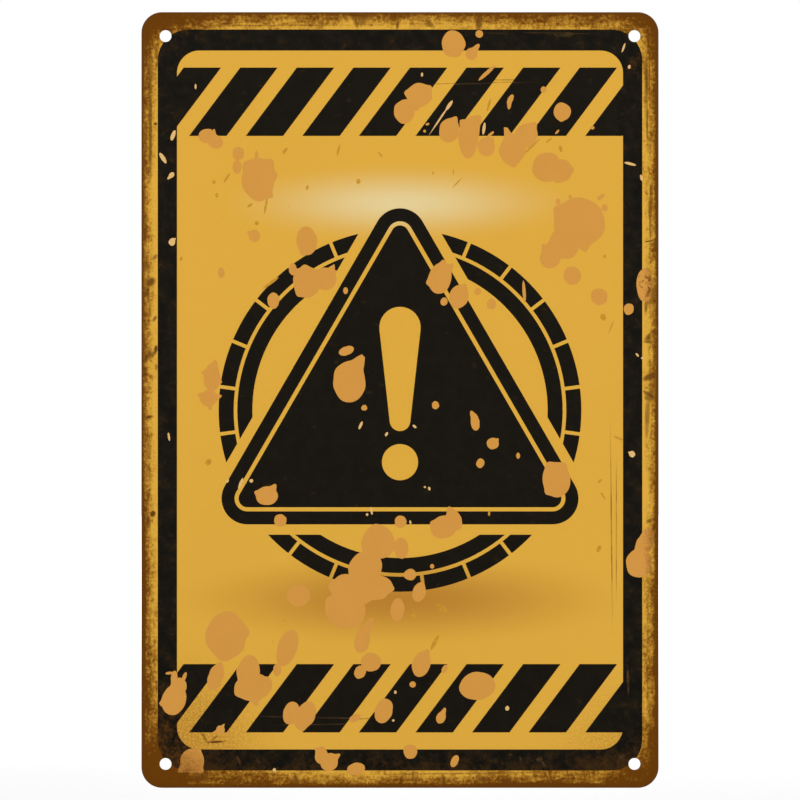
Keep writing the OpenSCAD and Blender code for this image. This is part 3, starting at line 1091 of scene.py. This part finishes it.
def tick(angle):
    """A short bar across the outer half of the ring, at an angle about the emblem's centre."""
    out = directions([angle])[0]
    aside = np.array((-out[1], out[0])) * RING_LINE_W / 2
    near = np.array(emblem_centre) + out * ring_middle
    far = near + out * RING_W
    return np.array((near - aside, far - aside, far + aside, near + aside))


ticks = [tick(a + TICK_STEP / 2) for a in range(0, 360, TICK_STEP)]


def in_emblem(p):
    """The triangle less its line and its mark, and the ring less its line, ticks and gap."""
    line = inside(p, line_outer) & ~inside(p, line_inner)
    solid = inside(p, outer_triangle) & ~line & ~inside_any(p, [bar, dot])
    ring_line = inside(p, line_out) & ~inside(p, line_in)
    band = inside(p, ring_outer) & ~inside(p, ring_inner) & ~ring_line
    return solid | (band & ~inside_any(p, ticks) & ~inside(p, clear_triangle))


emblem_loops = [outer_triangle, line_outer, line_inner, clear_triangle, bar, dot]
warning_emblem = printed("warning_emblem", emblem_loops + ring_loops + ticks, in_emblem)

# %% [markdown]
# Where a flake has gone, the undercoat lies a little deeper than the enamel, so each flake
# is a real shallow pit. The pits' floors are one piece with the same outlines.

# %% The pits' floors
PIT_DEPTH = 0.015
THIN_DEPTH = 0.005


def pits(name, loops, others, depth, material):
    """Floors for the outlines, except where they lie inside the others."""
    keep = lambda p: inside_any(p, loops) & ~inside_any(p, others)
    return slab(name, loops + others, keep, depth, COAT_T, material)


worn_flakes = pits("worn_flakes", flake_loops, hole_loops, PIT_DEPTH, tan_finish)
fresh_chips = pits("fresh_chips", chip_loops, flake_loops, PIT_DEPTH, chip_finish)
faint_marks = pits("faint_marks", faint_loops, flake_loops + chip_loops, THIN_DEPTH, thin_finish)

# %% [markdown]
# The sign is photographed square on, against white. A long lens at the height of its
# middle keeps its edges straight. The frame is 308.8 mm wide at the sign, which puts the
# lens that width times focal length over sensor width away.

# %% Camera
VIEW_W = 308.8
LENS = 100
SENSOR = 36

camera_data = bpy.data.cameras.new("camera")
camera_data.lens = LENS
camera_data.sensor_width = SENSOR
camera_data.clip_start = 0.01
camera = put_in_scene("camera", camera_data)
camera.location = (0, -VIEW_W * LENS / SENSOR * MM, 0)
camera.rotation_euler = (np.pi / 2, 0, 0)
bpy.context.scene.camera = camera
print("camera stands", round(VIEW_W * LENS / SENSOR), "mm in front of the sign")

# %% [markdown]
# Two broad soft lamps in front and one behind light the sign evenly, and the sky fills the
# rest. The sky looks white to the camera and in reflections, but it gives the sign less
# light than that, so that the colours come out as they are written.

# %% Light
SKY_LIGHT = 0.5
LAMP_SIZE = 1.4


def soft_lamp(name, place, power):
    """A square lamp that faces the sign's middle, with its place in m and its power in W."""
    lamp_data = bpy.data.lights.new(name, "AREA")
    lamp_data.size = LAMP_SIZE
    lamp_data.energy = power
    lamp = put_in_scene(name, lamp_data)
    lamp.location = place
    aim = -lamp.location
    lamp.rotation_euler = aim.to_track_quat("-Z", "Y").to_euler()


soft_lamp("key_lamp", (-1.3, -1.6, 0.7), 13.8)
soft_lamp("fill_lamp", (1.3, -1.6, 0.5), 12.6)
soft_lamp("back_lamp", (0.6, 1.6, 1.2), 16)

world = bpy.data.worlds.new("white_sky")
sky = Nodes(world)
rays = sky.node("LightPath").outputs
kinds = ("Is Camera Ray", "Is Glossy Ray", "Is Transmission Ray")
seen = reduce(sky.most, [Wire(sky, rays[kind]) for kind in kinds])
level = sky.wire("MapRange", inputs={"Value": seen, "To Min": SKY_LIGHT, "To Max": 1.0})
glow = sky.wire("Background", inputs={"Color": grey(1), "Strength": level})
sky.node("OutputWorld", inputs={0: glow})
bpy.context.scene.world = world

# %% [markdown]
# The floor lies below the sign, which hangs free of it, so that from above the sign's soft
# shadow shows. Seen by the camera it has a little glow of its own. The glow grows with the
# distance, as the lamps' light falls off, and so the floor meets the white sky without a line.

# %% Floor
FLOOR_Z = -0.2
FLOOR_HALF = 3.0
FLOOR_GREY = 0.82
NEAR_GLOW = 0.3
GLOW_START = 300
GLOW_FULL = 1400

corners = [(-1, -1), (1, -1), (1, 1), (-1, 1)]
floor_mesh = bpy.data.meshes.new("floor")
floor_verts = [(x * FLOOR_HALF, y * FLOOR_HALF, FLOOR_Z) for x, y in corners]
floor_mesh.from_pydata(floor_verts, [], [(0, 1, 2, 3)])
floor = put_in_scene("floor", floor_mesh)

plain = Finish("plain_white")
away = plain.length(plain.x, plain.y)
far_glow = plain.mix(plain.fade(away, GLOW_START, GLOW_FULL), grey(NEAR_GLOW), grey(1))
shown = plain.mix(plain.wire("LightPath", output="Is Camera Ray"), grey(0), far_glow)
diffuse = plain.wire("BsdfDiffuse", inputs={"Color": grey(FLOOR_GREY)})
own_light = plain.wire("Emission", inputs={"Color": shown})
both = plain.wire("AddShader", inputs={0: diffuse, 1: own_light})
plain.node("OutputMaterial", inputs={0: both})
floor_mesh.materials.append(plain.material)

# %% [markdown]
# The sign is one body. The tin takes the place of the engineered sheet, and every coat and
# print on it rides with it.

# %% Ride
pieces = [tin_sheet, yellow_enamel, worn_flakes, fresh_chips, faint_marks]
pieces += [black_border, *stripe_pieces, warning_emblem]
for piece in pieces:
    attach(piece, "root")
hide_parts("sign_sheet")

bpy.context.scene.view_settings.view_transform = "Standard"
